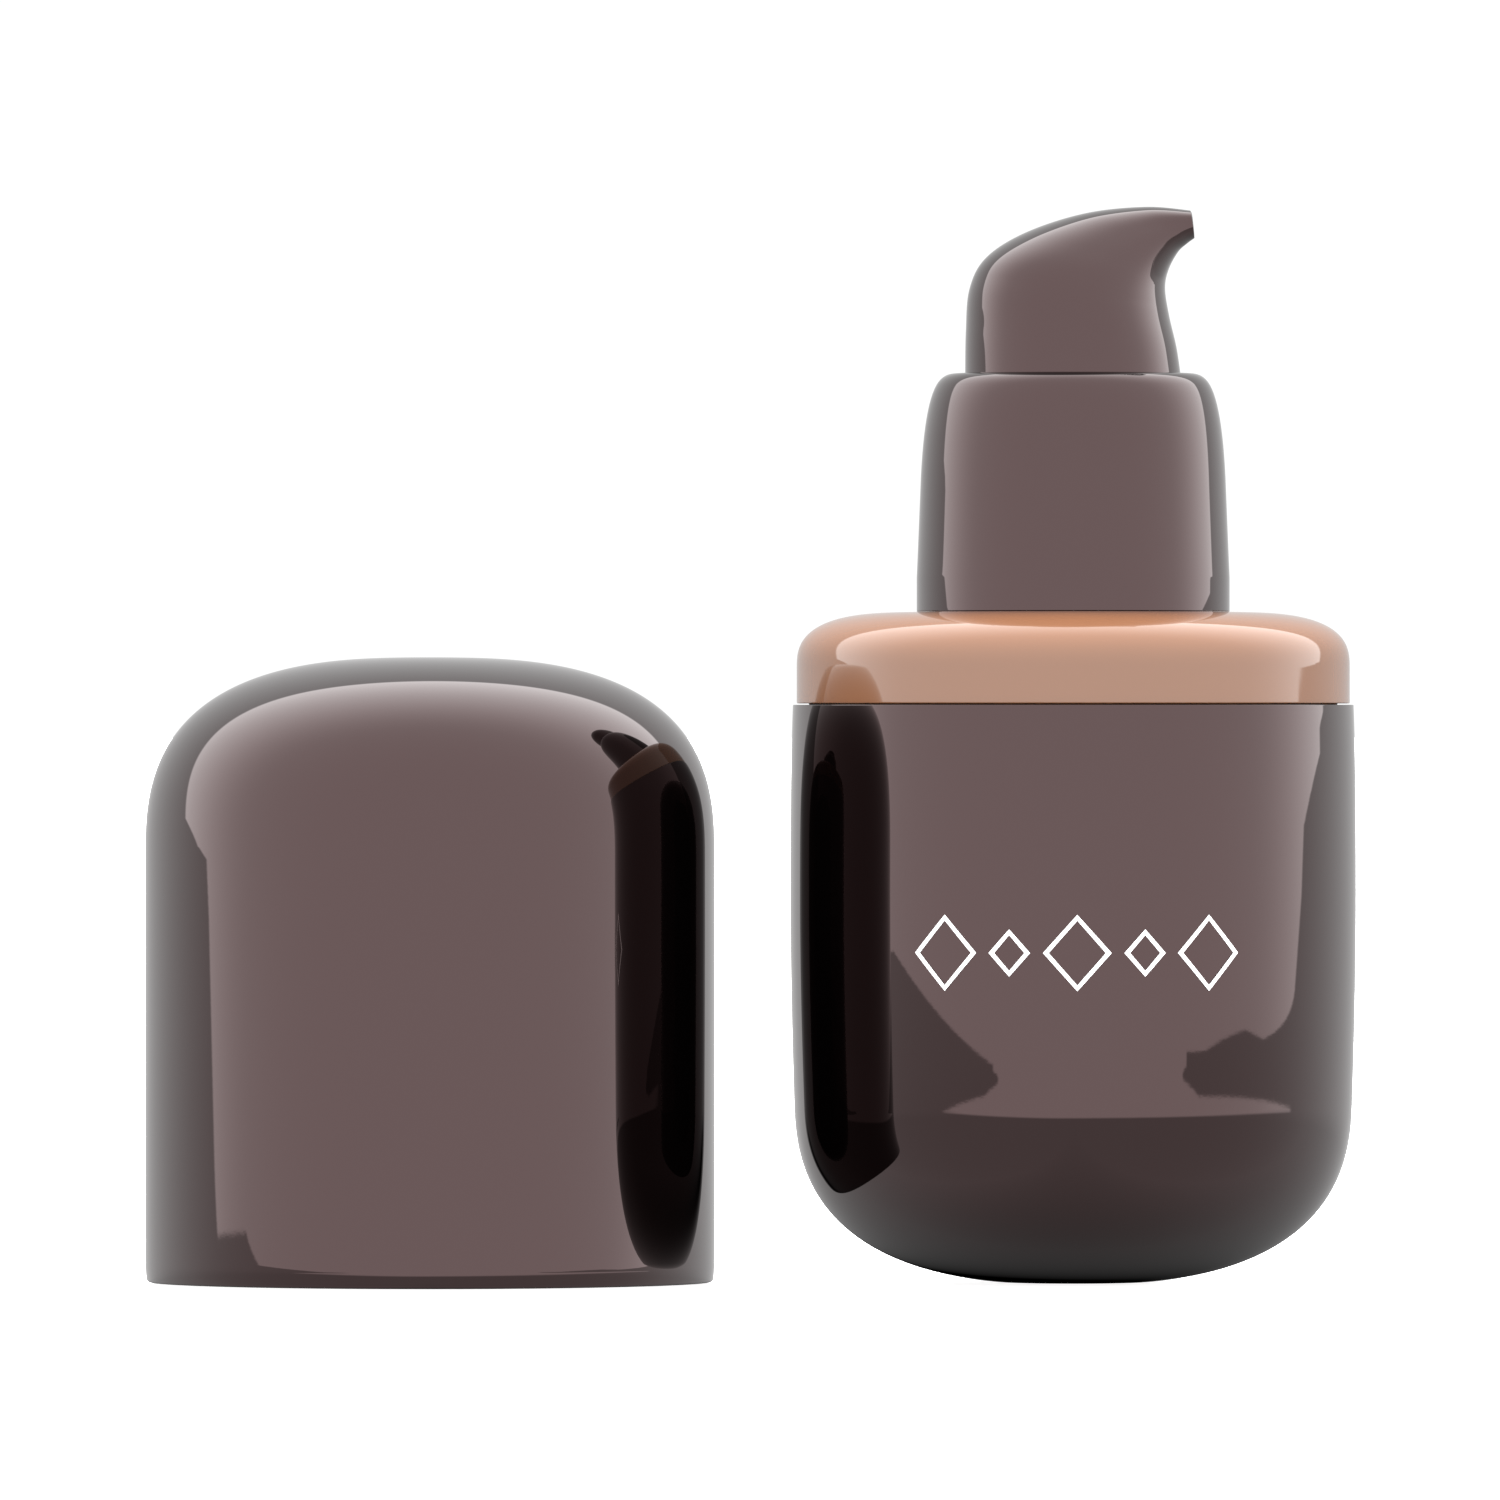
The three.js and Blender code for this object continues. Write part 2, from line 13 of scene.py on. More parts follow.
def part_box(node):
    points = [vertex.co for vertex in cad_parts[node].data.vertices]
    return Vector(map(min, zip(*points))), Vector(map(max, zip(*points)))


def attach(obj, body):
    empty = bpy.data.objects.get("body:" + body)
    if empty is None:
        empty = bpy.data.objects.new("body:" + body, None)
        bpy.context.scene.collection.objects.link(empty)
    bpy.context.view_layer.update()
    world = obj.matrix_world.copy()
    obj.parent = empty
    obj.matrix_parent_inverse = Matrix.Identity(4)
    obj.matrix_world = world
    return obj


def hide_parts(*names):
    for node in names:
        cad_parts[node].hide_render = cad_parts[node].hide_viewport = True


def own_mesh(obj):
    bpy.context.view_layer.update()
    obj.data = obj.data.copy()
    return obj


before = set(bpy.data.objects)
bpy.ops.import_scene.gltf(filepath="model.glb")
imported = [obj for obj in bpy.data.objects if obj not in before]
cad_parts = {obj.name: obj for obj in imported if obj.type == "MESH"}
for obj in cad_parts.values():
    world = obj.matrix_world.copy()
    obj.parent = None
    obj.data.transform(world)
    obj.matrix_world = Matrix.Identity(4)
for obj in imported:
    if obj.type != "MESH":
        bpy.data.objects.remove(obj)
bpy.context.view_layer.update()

MM = 0.001
ROUND = 160  # facets round a turned piece
FINE = 80  # steps along the curves that show long reflections
SHARP_ANGLE = math.radians(32)  # a crease above this stays sharp

# ------------------------------------------------------------------ sizes, in millimetres

SHELL = {"radius": 22.5, "rim_radius": 22.3, "waist": 31, "wall": 1.2, "rim": 45.9, "floor": 2.6}
FOOT = {"radius": 22.2, "pole": -0.2, "height": 15.5, "power": 2.6}
WALL_FOOT = {"radius": 22.18, "z": 13.8, "lean": 23.2}  # where the bowl runs into the wall
CAVITY = {"height": 12.1, "pole": 1.9, "floor_radius": 9}  # the bowl inside the shell
SNAP = {"bottom": 41.3, "top": 42.9, "depth": 0.3, "play": 0.05}  # the groove that holds the shoulder
SHOULDER = {"radius": 22, "wall": 1.3, "top": 53.3, "side": 48.8, "hole_radius": 10.3, "power": 2.8}
SKIRT = {"bottom": 40.6, "wall": 1.25, "inside": 46.2}  # the part of the ring inside the shell
STEP = {"radius": 12.2, "bottom": 51.55}  # the ring is thicker round its hole
COLLAR = {"base_radius": 12.45, "base": 53.32, "top": 72.25, "wall": 0.85, "hole_radius": 8.9}
CAP = {"radius": 22.65, "lip_radius": 22.6, "height": 49.7, "wall": 1.35}
CAP_LIP = {"bore": 22.15, "depth": 7.9}
CROWN = {"height": 16, "power": 2.75}
LINER = {"bore": 12.65, "wall": 1, "web": 1.1, "bottom": 8.2, "top": 44}
HEAD = {"bottom": 71.4, "socket": 2.7, "socket_top": 78.4, "boss": 3.5, "boss_bottom": 72.6, "roof": 78}
OUTLET = {"radius": 0.7, "length": 14, "tilt": math.radians(60), "start": (-0.6, 0, 78.27)}
SPRING = {"radius": 2.9, "wire": 0.25, "bottom": 45.35, "top": 53.05, "turns": 6}
PLAY = 0.1  # between pieces that are pushed together
EMBLEM = {"width": 27, "height": 6, "line": 0.6, "z": 26.4, "rhombi": 5, "small": 0.62}
INK_HEIGHT = 0.012  # how far the print stands off the shell

# ------------------------------------------------------------------ outlines


def dome(radius, height, power, pole, side, centre=0.0, inside=0.0, steps=40):
    """A quarter superellipse from its pole to its equator; side is 1 for a bowl, -1 for a crown."""
    points = []
    for i in range(steps + 1):
        angle = math.pi / 2 * i / steps
        r = centre + radius * math.sin(angle) ** (2 / power)
        z = pole + side * height * (1 - math.cos(angle) ** (2 / power))
        if r >= inside:
            points.append((r, z))
    return points


def bend(a, control, b, steps=12):
    """A quadratic curve from a to b, bending towards control."""
    points = []
    for i in range(steps + 1):
        t = i / steps
        shares = ((1 - t) ** 2, 2 * t * (1 - t), t * t)
        points.append(tuple(sum(w * v for w, v in zip(shares, place)) for place in zip(a, control, b)))
    return points


def softened(outline, radius, closed, steps=4):
    """Rounds each sharp corner of an outline a little, as a mould does."""
    outline = [p for i, p in enumerate(outline) if i == 0 or math.dist(p, outline[i - 1]) > 1e-6]
    if closed and math.dist(outline[0], outline[-1]) < 1e-6:
        outline.pop()
    count = len(outline)
    result = []
    for i, corner in enumerate(outline):
        here = Vector(corner)
        if not closed and i in (0, count - 1):
            result.append(corner)
            continue
        before = Vector(outline[i - 1]) - here
        after = Vector(outline[(i + 1) % count]) - here
        if math.pi - before.angle(after) < SHARP_ANGLE:
            result.append(corner)
            continue
        reach = min(radius, before.length * 0.4, after.length * 0.4)
        support = reach * 1.2  # a point on each side that keeps the flats flat
        back, on = before.normalized(), after.normalized()
        result.append(tuple(here + back * support))
        result += bend(tuple(here + back * reach), corner, tuple(here + on * reach), steps)
        result.append(tuple(here + on * support))
    return result


# ------------------------------------------------------------------ meshes


def finished(name, mesh, place=(0, 0, 0)):
    """A smooth-shaded object from a mesh in millimetres, standing at a place in millimetres."""
    mesh.transform(scale_to_metres(place))
    mesh.polygons.foreach_set("use_smooth", [True] * len(mesh.polygons))
    mesh.set_sharp_from_angle(angle=SHARP_ANGLE)
    piece = bpy.data.objects.new(name, mesh)
    bpy.context.scene.collection.objects.link(piece)
    return piece


def scale_to_metres(place):
    return Matrix.Scale(MM, 4) @ Matrix.Translation(place)


def facing_out(mesh):
    """Turns every face of a closed mesh outwards."""
    work = bmesh.new()
    work.from_mesh(mesh)
    bmesh.ops.recalc_face_normals(work, faces=work.faces)
    work.to_mesh(mesh)
    work.free()
    return mesh


def turned(name, outline, round_by=0.15, segments=ROUND):
    """The mesh of a body of revolution. The outline ends on the axis at both ends or closes on itself."""
    closed = outline[0][0] > 0
    outline = softened(outline, round_by, closed)
    verts, rows = [], []
    for r, z in outline:
        if r < 1e-6:
            rows.append([len(verts)] * segments)
            verts.append((0, 0, z))
            continue
        rows.append(list(range(len(verts), len(verts) + segments)))
        turn = 2 * math.pi / segments
        verts += [(r * math.cos(turn * k), r * math.sin(turn * k), z) for k in range(segments)]
    if closed:
        rows.append(rows[0])
    faces = []
    for low, high in zip(rows, rows[1:]):
        for k in range(segments):
            n = (k + 1) % segments
            corners = list(dict.fromkeys([low[k], low[n], high[n], high[k]]))
            if len(corners) > 2:
                faces.append(corners)
    mesh = bpy.data.meshes.new(name)
    mesh.from_pydata(verts, [], faces)
    return facing_out(mesh)


def skinned(name, rings):
    """The mesh of a closed skin over a row of rings, with a flat cap at each end."""
    count = len(rings[0])
    verts = [p for ring in rings for p in ring]
    faces = [list(range(count)), list(range(len(verts) - count, len(verts)))]
    for row in range(len(rings) - 1):
        for k in range(count):
            a, b = row * count + k, row * count + (k + 1) % count
            faces.append([a, b, b + count, a + count])
    mesh = bpy.data.meshes.new(name)
    mesh.from_pydata(verts, [], faces)
    return facing_out(mesh)


def carved(mesh, *cuts):
    """The mesh, less each of the meshes after it."""
    base = bpy.data.objects.new("carving", mesh)
    bpy.context.scene.collection.objects.link(base)
    tools = []
    for tool_mesh in cuts:
        tool = bpy.data.objects.new("tool", tool_mesh)
        bpy.context.scene.collection.objects.link(tool)
        tools.append(tool)
        modifier = base.modifiers.new("cut", "BOOLEAN")
        modifier.operation = "DIFFERENCE"
        modifier.object = tool
        modifier.solver = "EXACT"
    view = bpy.context.evaluated_depsgraph_get()
    result = bpy.data.meshes.new_from_object(base.evaluated_get(view), depsgraph=view)
    for used in (base, *tools):
        bpy.data.objects.remove(used)
    return result


# ------------------------------------------------------------------ the bottle's pieces


def outer_shell():
    """Flat foot, round bowl, and a wall that swells to its waist and draws in again at the rim."""
    inside = SHELL["rim_radius"] - SHELL["wall"]
    rim, waist, radius = SHELL["rim"], SHELL["waist"], SHELL["radius"]
    slope, groove = 0.6, inside + SNAP["depth"]
    bowl = dome(FOOT["radius"], FOOT["height"], FOOT["power"], FOOT["pole"], 1, steps=FINE)
    bowl = [(r, z) for r, z in bowl if 0 < z < WALL_FOOT["z"] - 0.2]
    wall_foot = (WALL_FOOT["radius"], WALL_FOOT["z"])
    outline = [(0, 0), (bowl[0][0] - 0.4, 0)] + bowl
    outline += bend(wall_foot, (radius, WALL_FOOT["lean"]), (radius, waist), FINE)
    outline += bend((radius, waist), (radius, SNAP["bottom"]), (SHELL["rim_radius"], rim), FINE)
    outline += [(inside, rim), (inside, SNAP["top"])]
    outline += [(groove, SNAP["top"] - slope), (groove, SNAP["bottom"] + slope), (inside, SNAP["bottom"])]
    floor_radius = CAVITY["floor_radius"]
    cavity = dome(
        inside - PLAY, CAVITY["height"], FOOT["power"], CAVITY["pole"], 1, inside=floor_radius + 0.5
    )
    outline += cavity[::-1] + [(floor_radius, SHELL["floor"]), (0, SHELL["floor"])]
    return turned("outer_shell", outline)


def shoulder_ring():
    """A skirt with a bead that snaps into the shell, and an arch that covers the inner bottle."""
    radius, wall, top, power = (SHOULDER[k] for k in ("radius", "wall", "top", "power"))
    hole = SHOULDER["hole_radius"]
    skirt = SHELL["rim_radius"] - SHELL["wall"] - PLAY
    skirt_inside = skirt - SKIRT["wall"]
    bead = skirt + SNAP["depth"] - SNAP["play"]
    ledge = SHELL["rim"] + PLAY
    middle = COLLAR["base_radius"]
    outline = [(skirt, SKIRT["bottom"]), (skirt, SNAP["bottom"] + 0.2)]
    outline += [(bead, 41.95), (bead, 42.25), (skirt, SNAP["top"] - 0.2)]
    outline += [(skirt, ledge), (radius, ledge)]
    arch_height = top - SHOULDER["side"]
    outline += dome(radius - middle, arch_height, power, top, -1, centre=middle, steps=FINE)[::-1]
    outline += [(hole, top), (hole, STEP["bottom"])]
    outline += [(STEP["radius"], STEP["bottom"]), (STEP["radius"], top - wall)]
    outline += dome(radius - wall - middle, 4, power, top - wall, -1, centre=middle)
    outline += [(skirt_inside, SKIRT["inside"]), (skirt_inside, SKIRT["bottom"])]
    return turned("shoulder_ring", outline, 0.1)


def collar_sleeve():
    """A tapering sleeve with a rounded top edge that turns in to a hole for the head."""
    base_radius, base, top, wall, hole = COLLAR.values()
    outline = [(base_radius - wall, base), (base_radius, base)]
    outline += bend((base_radius, 56), (12.4, 57), (12.12, 64))
    outline += bend((12.12, 64), (11.85, 69.6), (10.9, 71.3))
    outline += bend((10.9, 71.3), (10.4, 72.2), (9.5, top))
    outline += [(hole, top), (hole, top - 1), (10, top - 1.1)]
    outline += bend((10, top - 1.1), (11, 69), (11.42, 66.5))
    return turned("collar_sleeve", outline, 0.06)


def spline(points, t):
    """A Catmull-Rom curve through the points, at t from 0 to 1."""
    place = (len(points) - 1) * t
    i = min(int(place), len(points) - 2)
    w = place - i
    p1, p2 = points[i], points[i + 1]
    p0 = points[i - 1] if i > 0 else p1
    p3 = points[i + 2] if i < len(points) - 2 else p2
    value = []
    for a, b, c, d in zip(p0, p1, p2, p3):
        m1, m2 = (c - a) / 2, (d - b) / 2
        cubic = 2 * b - 2 * c + m1 + m2
        square = -3 * b + 3 * c - 2 * m1 - m2
        value.append(cubic * w**3 + square * w**2 + m1 * w + b)
    return value


# The head's back and throat lines as (x, z), and its half width, from the skirt to the beak's tip.
BACK = [
    (-8.6, 71.4), (-8.55, 75.5), (-8.25, 79), (-6.9, 81.5), (-3.7, 83.5), (1, 85), (5.8, 85.5), (9.4, 85.2),
]
THROAT = [
    (8.65, 71.4), (8.25, 74.2), (7.65, 76.8), (7.32, 79), (7.6, 80.5), (8.35, 81.9), (9.1, 82.6), (9.65, 83),
]
HALF_WIDTH = [(8.5,), (8.45,), (8.2,), (7.35,), (5.95,), (4.2,), (2.8,), (1.9,)]


def head_section(t, shrink=0.0, sides=96):
    """One section of the press-down head, between its back line and its throat line."""
    (ax, az), (bx, bz), (half,) = spline(BACK, t), spline(THROAT, t), spline(HALF_WIDTH, t)
    power = 2 / (2 + 0.9 * max(t - 1 / 3, 0))  # round at the skirt, squarer at the tip
    reach = math.hypot(bx - ax, bz - az) / 2
    ring = []
    for k in range(sides):
        c, s = math.cos(2 * math.pi * k / sides), math.sin(2 * math.pi * k / sides)
        along = math.copysign(abs(c) ** power, c) * (1 - shrink / reach)
        across = math.copysign(abs(s) ** power, s) * (half - shrink)
        x = (ax + bx) / 2 + (bx - ax) / 2 * along
        z = (az + bz) / 2 + (bz - az) / 2 * along
        ring.append((x, across, z))
    return ring


def actuator():
    """The head: a skin with slightly rounded ends, less its room, its stem socket and its outlet."""
    sections = 72
    edge = 0.15
    near_bottom, near_tip = 0.004, 0.993
    rings = [head_section(0, edge), head_section(near_bottom)]
    rings += [head_section(i / sections) for i in range(1, sections)]
    rings += [head_section(near_tip), head_section(1, edge)]
    outside = skinned("actuator", rings)
    bottom, boss, roof, boss_bottom = (HEAD[k] for k in ("bottom", "boss", "roof", "boss_bottom"))
    room = [(boss, boss_bottom), (boss, roof)] + bend((boss, roof), (6.4, roof), (7, 75.2))[1:]
    room += [(7.3, bottom - 1), (0, bottom - 1), (0, boss_bottom)]
    socket = rod("socket", HEAD["socket"], bottom, HEAD["socket_top"], 48)
    outlet = rod("outlet", OUTLET["radius"], 0, OUTLET["length"], 32)
    outlet.transform(Matrix.Translation(OUTLET["start"]) @ Matrix.Rotation(OUTLET["tilt"], 4, "Y"))
    return carved(outside, turned("room", room, 0.1, 96), socket, outlet)


def rod(name, radius, bottom, top, segments):
    """A plain cylinder about Z, for cutting."""
    return turned(name, [(0, bottom), (radius, bottom), (radius, top), (0, top)], 0, segments)


# ------------------------------------------------------------------ the overcap's pieces


def cap_shell():
    """The overcap: a domed cup whose thin lip goes round the shoulder ring."""
    radius, lip, height, wall = CAP.values()
    bore, depth = CAP_LIP.values()
    outline = [(lip - 0.25, 0)] + bend((lip - 0.1, 0.1), (lip, 0.3), (lip + 0.03, 1.3))
    outline += bend((lip + 0.03, 1.3), (radius, 4), (radius, 10))
    outline += dome(radius, pole=height, side=-1, steps=FINE, **CROWN)[::-1]
    outline += dome(radius - wall, CROWN["height"] - 1, CROWN["power"], height - wall, -1)
    outline += [(radius - wall, depth + 2 * PLAY), (bore, depth), (bore, 0)]
    return turned("cap_shell", outline, 0.1)


def cap_liner():
    """A tall cup inside the overcap, with a bead at its mouth that grips the collar sleeve."""
    bore, wall, web, bottom, top = LINER.values()
    flange = CAP["radius"] - CAP["wall"] - PLAY
    grip = bore - 0.13
    outline = [(0, top - web), (bore, top - web), (bore, 11), (grip, 10.2), (grip, 9.8), (bore, 9)]
    outline += [(bore, bottom), (flange, bottom), (flange, bottom + web), (bore + wall, bottom + web)]
    outline += [(bore + wall, top), (0, top)]
    return turned("cap_liner", outline, 0.2)


# ------------------------------------------------------------------ the spring and the emblem


def return_spring():
    """The coil, with its first and last half turns lying flat."""
    per_turn, sides = 36, 12
    radius, wire, bottom, top, turns = SPRING.values()
    rings = []
    for i in range(turns * per_turn + 1):
        turn = i / per_turn
        rise = min(1, max(0, (turn - 0.5) / (turns - 1)))
        z = bottom + wire + rise * (top - bottom - 2 * wire)
        round_z = 2 * math.pi * turn
        ring = []
        for k in range(sides):
            angle = 2 * math.pi * k / sides
            r = radius + wire * math.cos(angle)
            ring.append((r * math.cos(round_z), r * math.sin(round_z), z + wire * math.sin(angle)))
        rings.append(ring)
    return skinned("return_spring", rings)


def emblem():
    """A generic band of thin rhombi, printed on the front of the shell."""
    width = EMBLEM["width"] / EMBLEM["rhombi"]
    verts, faces = [], []
    for n in range(EMBLEM["rhombi"]):
        centre = (n - (EMBLEM["rhombi"] - 1) / 2) * width
        big = 1 if n % 2 == 0 else EMBLEM["small"]
        outer = (width / 2 * big, EMBLEM["height"] / 2 * big)
        inner = tuple(side - EMBLEM["line"] * math.hypot(*outer) / min(outer) * 0.5 for side in outer)
        add_rhombus(verts, faces, centre, outer, inner)
    mesh = bpy.data.meshes.new("emblem")
    mesh.from_pydata(verts, [], faces)
    return mesh


def add_rhombus(verts, faces, centre, outer, inner, steps=8):
    """One rhombus-shaped line, bent round the shell."""
    first = len(verts)
    tips = [(1, 0), (0, 1), (-1, 0), (0, -1)]
    loop = []
    for side in range(4):
        (ax, ay), (bx, by) = tips[side], tips[(side + 1) % 4]
        loop += [(ax + (bx - ax) * i / steps, ay + (by - ay) * i / steps) for i in range(steps)]
    for half_width, half_height in (outer, inner):
        for x, y in loop:
            verts.append(on_shell(centre + x * half_width, EMBLEM["z"] + y * half_height))
    count = len(loop)
    for k in range(count):
        n = (k + 1) % count
        faces.append([first + k, first + n, first + count + n, first + count + k])


def on_shell(across, z):
    """A point just off the shell's front, so far round from the middle and at that height."""
    r = SHELL["radius"] + INK_HEIGHT
    angle = across / r
    return (r * math.sin(angle), -r * math.cos(angle), z)


# ------------------------------------------------------------------ materials

PLASTIC_IOR = 1.5
CLOUD_SCALE = 45  # blotches about 20 mm across
GRAIN_HEIGHT = 0.00005  # metres


def new_material(name):
    material = bpy.data.materials.new(name)
    material.use_nodes = True
    tree = material.node_tree
    return material, tree.nodes, tree.links, tree.nodes["Principled BSDF"]


def moulded(name, light, dark, roughness, grain=2200, grain_depth=0.02, tint=(1, 1, 1), clear=0.0):
    """Moulded plastic: slightly cloudy in colour and gloss, with a finely uneven surface."""
    material, nodes, links, shader = new_material(name)
    shader.inputs["IOR"].default_value = PLASTIC_IOR
    shader.inputs["Specular Tint"].default_value = (*tint, 1)
    shader.inputs["Transmission Weight"].default_value = clear
    place = nodes.new("ShaderNodeTexCoord")
    cloud = nodes.new("ShaderNodeTexNoise")
    cloud.inputs["Scale"].default_value = CLOUD_SCALE
    cloud.inputs["Detail"].default_value = 4
    links.new(place.outputs["Object"], cloud.inputs["Vector"])
    colour = nodes.new("ShaderNodeMix")
    colour.data_type = "RGBA"
    colour.inputs["A"].default_value = (*dark, 1)
    colour.inputs["B"].default_value = (*light, 1)
    links.new(cloud.outputs["Fac"], colour.inputs["Factor"])
    links.new(colour.outputs["Result"], shader.inputs["Base Color"])
    gloss = nodes.new("ShaderNodeMapRange")
    gloss.inputs["To Min"].default_value = roughness[0]
    gloss.inputs["To Max"].default_value = roughness[1]
    links.new(cloud.outputs["Fac"], gloss.inputs["Value"])
    links.new(gloss.outputs["Result"], shader.inputs["Roughness"])
    skin = nodes.new("ShaderNodeTexNoise")
    skin.inputs["Scale"].default_value = grain
    skin.inputs["Detail"].default_value = 2
    links.new(place.outputs["Object"], skin.inputs["Vector"])
    bump = nodes.new("ShaderNodeBump")
    bump.inputs["Strength"].default_value = grain_depth
    bump.inputs["Distance"].default_value = GRAIN_HEIGHT
    links.new(skin.outputs["Fac"], bump.inputs["Height"])
    links.new(bump.outputs["Normal"], shader.inputs["Normal"])
    return material


def wire_steel():
    material, nodes, links, shader = new_material("spring_wire")
    shader.inputs["Base Color"].default_value = (0.62, 0.62, 0.64, 1)
    shader.inputs["Metallic"].default_value = 1
    place = nodes.new("ShaderNodeTexCoord")
    drawn = nodes.new("ShaderNodeTexNoise")
    drawn.inputs["Scale"].default_value = 3000
    links.new(place.outputs["Object"], drawn.inputs["Vector"])
    gloss = nodes.new("ShaderNodeMapRange")
    gloss.inputs["To Min"].default_value = 0.18
    gloss.inputs["To Max"].default_value = 0.38
    links.new(drawn.outputs["Fac"], gloss.inputs["Value"])
    links.new(gloss.outputs["Result"], shader.inputs["Roughness"])
    return material


BROWN = moulded(
    "brown_gloss", (0.0008, 0.0005, 0.0005), (0.0005, 0.0003, 0.0003), (0.008, 0.016),
    grain_depth=0.002, tint=(1, 0.68, 0.68),
)
SHADE = moulded(
    "shade_gloss", (0.133, 0.0577, 0.0281), (0.126, 0.0548, 0.0267), (0.03, 0.05), grain_depth=0.004
)
NATURAL = moulded("natural_plastic", (0.72, 0.7, 0.65), (0.66, 0.64, 0.59), (0.35, 0.5), 900, 0.15)
SEAL = moulded("seal_white", (0.82, 0.81, 0.78), (0.76, 0.75, 0.72), (0.55, 0.7), 1500, 0.2)
TUBE = moulded("tube_clear", (0.74, 0.77, 0.76), (0.68, 0.71, 0.7), (0.2, 0.3), clear=0.6)
GLASS = moulded("glass_ball", (0.9, 0.94, 0.94), (0.86, 0.9, 0.9), (0.0, 0.02), clear=0.95)
INK = moulded("print_ink", (0.84, 0.84, 0.84), (0.8, 0.8, 0.8), (0.3, 0.45), 2600, 0.1)
STEEL = wire_steel()

NODE_MATERIALS = {
    "inner_bottle": NATURAL,
    "screw_closure": NATURAL,
    "pump_housing": NATURAL,
    "ball_cage": NATURAL,
    "chaplet": NATURAL,
    "stem": NATURAL,
    "piston_rod": NATURAL,
    "piston": SEAL,
    "neck_gasket": SEAL,
    "dip_tube": TUBE,
    "ball_valve": GLASS,
}


# ------------------------------------------------------------------ assembly


def put(mesh, name, body, material, node=None, place=(0, 0, 0)):
    """Adds a piece that rides on a body and, where a node is given, stands for that CAD node."""
    piece = finished(name, mesh, place)
    piece.data.materials.clear()
    piece.data.materials.append(material)
    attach(piece, body)
    if node:
        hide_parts(node)
    return piece


def middle_of(node):
    """The middle of a CAD node's plan, in millimetres, on the table."""
    low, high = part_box(node)
    return ((low[0] + high[0]) / 2 / MM, (low[1] + high[1]) / 2 / MM, 0)


cap_place = middle_of("cap_shell")
put(outer_shell(), "body_shell", "bottle", BROWN, "outer_shell")
put(shoulder_ring(), "shade_shoulder", "bottle", SHADE, "shoulder_ring")
put(collar_sleeve(), "pump_collar", "closure", BROWN, "collar_sleeve")
put(actuator(), "pump_head", "head", BROWN, "actuator")
put(cap_shell(), "overcap", "cap", BROWN, "cap_shell", cap_place)
put(cap_liner(), "overcap_liner", "cap", NATURAL, "cap_liner", cap_place)
put(emblem(), "front_emblem", "bottle", INK)
coil = put(return_spring(), "pump_spring", "pump", STEEL, "return_spring")
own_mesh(coil)

for node, material in NODE_MATERIALS.items():
    node_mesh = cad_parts[node].data
    node_mesh.materials.clear()
    node_mesh.materials.append(material)


# ------------------------------------------------------------------ floor, light and camera

# The world's brightness depends on the direction (x, y, z) alone. A line is (slope, start), a ramp
# is (start, end, low, high), and a pair with one number for each half of the studio is (left, right).
TURN = 0.3  # the left half of the studio gives way to the right half over |x| below this
PANEL_LIGHT = {"start": -0.25, "end": 0.4, "low": 3.6, "high": 4.5}  # brightness along y
SIDE_SLANT = {"x": 0.065, "z": 0.3}  # how the panel's side edges lean
SIDE_SOFTNESS = 0.012
LEFT_SIDE = {"lower": (4.2, 0.28), "middle": (8, 0.31), "upper": (1.8, 0.352), "limit": 0.5}
RIGHT_SIDE = {"lower": (2.4, 0.24), "middle": (13.5, 0.218), "step": (0.026, 0.036, 0.45, 0.5)}
RIGHT_CORNER = {"z": -0.034, "pull": -900}  # the right edge comes forward below this z
LEFT_EDGE = {"line": (0.0654, -0.0158), "highest": -0.028}
RIGHT_EDGE = {"start": -0.27, "highest": -0.0515, "slope": -0.027, "cube": -0.08}
EDGE_SOFTNESS = 0.0007
FOOT_BOTTOM = {"left": (0.0924, -0.0281), "right": (0.0464, -0.0719), "softness": 0.008}
FOOT_END = {"left": -0.555, "right": 0.19, "softness": 0.02}
STRIP_TOP = {"left": ((-0.045, -0.1137), (0, -0.0783)), "right": ((0.018, -0.0639), (-0.03, -0.093))}
WEDGE_TIP = {"y": (-0.848, -0.7055), "z": (-0.0745, -0.0708), "softness": 0.006}
TIP_ROUNDING = {"factor": 2500, "most": 0.000008}
ABOVE = {"light": 1.55, "dimming": -0.8, "disc": (0.9975, 0.9985, 0, 1.05)}  # the disc is a ramp
UNDER = {"light": 0.68, "along": -0.62, "sideways": 0.85, "most": 1.3, "far": 0.5, "dimming": -0.2}
HORIZON = (-0.12, -0.02)  # z from which the light under the object gives way to the light above it


